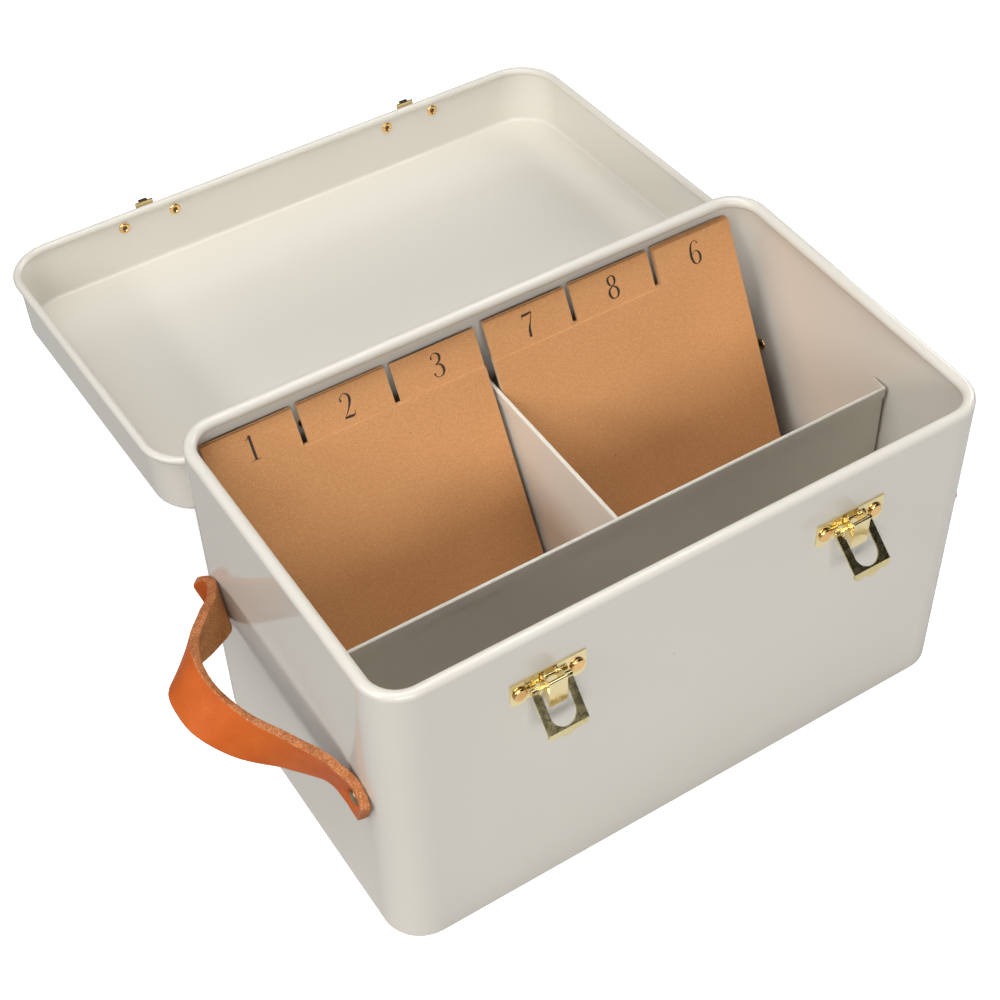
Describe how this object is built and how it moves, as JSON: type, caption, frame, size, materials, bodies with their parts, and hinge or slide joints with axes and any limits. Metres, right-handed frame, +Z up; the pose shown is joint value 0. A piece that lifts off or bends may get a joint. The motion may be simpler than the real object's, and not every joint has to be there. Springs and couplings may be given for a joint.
{
  "type": "garden seed organizer box",
  "caption": "Enamelled steel tin with a hinged lid, draw latches, leather side handles, a lift-out divider and tabbed index cards for seed packets.",
  "frame": {"origin": "middle of the body's underside", "axes": "+X along the length to the right, +Y to the rear wall with the hinges, +Z up; the latches are on the -Y wall"},
  "size_m": [0.397, 0.3902, 0.1682],
  "materials": {
    "enamel": "satin enamel on sheet steel",
    "brass_plate": "polished",
    "rivet_metal": "polished, copper toned",
    "hinge_steel": "polished",
    "leather": "oiled tan, raw flesh side",
    "kraft_card": "uncoated kraft card"
  },
  "bodies": {
    "box": {"body_shell": "enamel", "base_panel": "enamel", "latch_rivets": "rivet_metal", "hinge_body_rivets": "rivet_metal", "handle_rivets": "rivet_metal", "latch_plate_left": "brass_plate", "lever_pin_left": "brass_plate", "hinge_body_leaf_left": "hinge_steel", "hinge_pin_left": "hinge_steel", "handle_strap_left": "leather", "latch_plate_right": "brass_plate", "lever_pin_right": "brass_plate", "hinge_body_leaf_right": "hinge_steel", "hinge_pin_right": "hinge_steel", "handle_strap_right": "leather"},
    "lid": {"lid_shell": "enamel", "keeper_rivets": "rivet_metal", "hinge_lid_rivets": "rivet_metal", "keeper_left": "brass_plate", "hinge_lid_leaf_left": "hinge_steel", "keeper_right": "brass_plate", "hinge_lid_leaf_right": "hinge_steel"},
    "divider": {"divider_long": "enamel", "divider_cross": "enamel"},
    "lever_left": {"latch_lever_left": "brass_plate", "hasp_pin_left": "brass_plate"},
    "hasp_left": {"latch_hasp_left": "brass_plate"},
    "lever_right": {"latch_lever_right": "brass_plate", "hasp_pin_right": "brass_plate"},
    "hasp_right": {"latch_hasp_right": "brass_plate"},
    "card_01": {"card_01": "kraft_card"},
    "card_02": {"card_02": "kraft_card"},
    "card_03": {"card_03": "kraft_card"},
    "card_04": {"card_04": "kraft_card"},
    "card_05": {"card_05": "kraft_card"},
    "card_06": {"card_06": "kraft_card"},
    "card_07": {"card_07": "kraft_card"},
    "card_08": {"card_08": "kraft_card"},
    "card_09": {"card_09": "kraft_card"},
    "card_10": {"card_10": "kraft_card"},
    "card_11": {"card_11": "kraft_card"},
    "card_12": {"card_12": "kraft_card"}
  },
  "joints": [
    {"name": "lid_hinge", "type": "hinge", "parent": "box", "child": "lid", "pos_m": [0, 0.093, 0.1474], "axis": [-1, 0, 0], "range_deg": [-183.6, 0]},
    {"name": "divider_lift", "type": "slide", "parent": "box", "child": "divider", "axis": [0, 0, 1], "range_m": [0, 0.034]},
    {"name": "lever_left_lift", "type": "hinge", "parent": "box", "child": "lever_left", "pos_m": [-0.0763, -0.0909, 0.143], "axis": [-1, 0, 0], "range_deg": [0, 65]},
    {"name": "hasp_left_swing", "type": "hinge", "parent": "lever_left", "child": "hasp_left", "pos_m": [-0.0763, -0.0912, 0.1375], "axis": [1, 0, 0], "range_deg": [-119.3, 35.5]},
    {"name": "lever_right_lift", "type": "hinge", "parent": "box", "child": "lever_right", "pos_m": [0.0747, -0.0909, 0.143], "axis": [-1, 0, 0], "range_deg": [0, 65]},
    {"name": "hasp_right_swing", "type": "hinge", "parent": "lever_right", "child": "hasp_right", "pos_m": [0.0747, -0.0912, 0.1375], "axis": [1, 0, 0], "range_deg": [-108.8, 46]},
    {"name": "card_01_tip", "type": "hinge", "parent": "box", "child": "card_01", "pos_m": [-0.0708, -0.00121, 0.0024], "axis": [1, 0, 0], "range_deg": [0, 36.5]},
    {"name": "card_02_tip", "type": "hinge", "parent": "box", "child": "card_02", "pos_m": [-0.0708, -0.00076, 0.0024], "axis": [1, 0, 0], "range_deg": [0, 29.11]},
    {"name": "card_03_tip", "type": "hinge", "parent": "box", "child": "card_03", "pos_m": [-0.0708, -0.0003, 0.0024], "axis": [1, 0, 0], "range_deg": [0, 21.48]},
    {"name": "card_04_tip", "type": "hinge", "parent": "box", "child": "card_04", "pos_m": [-0.0708, 0.00016, 0.0024], "axis": [1, 0, 0], "range_deg": [0, 13.89]},
    {"name": "card_05_tip", "type": "hinge", "parent": "box", "child": "card_05", "pos_m": [-0.0708, 0.00063, 0.0024], "axis": [1, 0, 0], "range_deg": [0, 6.3]},
    {"name": "card_06_tip", "type": "hinge", "parent": "box", "child": "card_06", "pos_m": [0.0699, 0.00028, 0.0024], "axis": [1, 0, 0], "range_deg": [0, 35.6]},
    {"name": "card_07_tip", "type": "hinge", "parent": "box", "child": "card_07", "pos_m": [0.0699, 0.00073, 0.0024], "axis": [1, 0, 0], "range_deg": [0, 30.57]},
    {"name": "card_08_tip", "type": "hinge", "parent": "box", "child": "card_08", "pos_m": [0.0699, 0.0012, 0.0024], "axis": [1, 0, 0], "range_deg": [0, 25.33]},
    {"name": "card_09_tip", "type": "hinge", "parent": "box", "child": "card_09", "pos_m": [0.0699, 0.00166, 0.0024], "axis": [1, 0, 0], "range_deg": [0, 20.1]},
    {"name": "card_10_tip", "type": "hinge", "parent": "box", "child": "card_10", "pos_m": [0.0699, 0.00212, 0.0024], "axis": [1, 0, 0], "range_deg": [0, 14.87]},
    {"name": "card_11_tip", "type": "hinge", "parent": "box", "child": "card_11", "pos_m": [0.0699, 0.00258, 0.0024], "axis": [1, 0, 0], "range_deg": [0, 9.63]},
    {"name": "card_12_tip", "type": "hinge", "parent": "box", "child": "card_12", "pos_m": [0.0699, 0.00303, 0.0024], "axis": [1, 0, 0], "range_deg": [0, 4.4]}
  ],
  "couplings": [
    {"joint": "card_02_tip", "follows": "card_01_tip", "ratio": 0.792},
    {"joint": "card_03_tip", "follows": "card_01_tip", "ratio": 0.583},
    {"joint": "card_04_tip", "follows": "card_01_tip", "ratio": 0.375},
    {"joint": "card_05_tip", "follows": "card_01_tip", "ratio": 0.167},
    {"joint": "card_07_tip", "follows": "card_06_tip", "ratio": 0.853},
    {"joint": "card_08_tip", "follows": "card_06_tip", "ratio": 0.706},
    {"joint": "card_09_tip", "follows": "card_06_tip", "ratio": 0.559},
    {"joint": "card_10_tip", "follows": "card_06_tip", "ratio": 0.412},
    {"joint": "card_11_tip", "follows": "card_06_tip", "ratio": 0.265},
    {"joint": "card_12_tip", "follows": "card_06_tip", "ratio": 0.118}
  ]
}
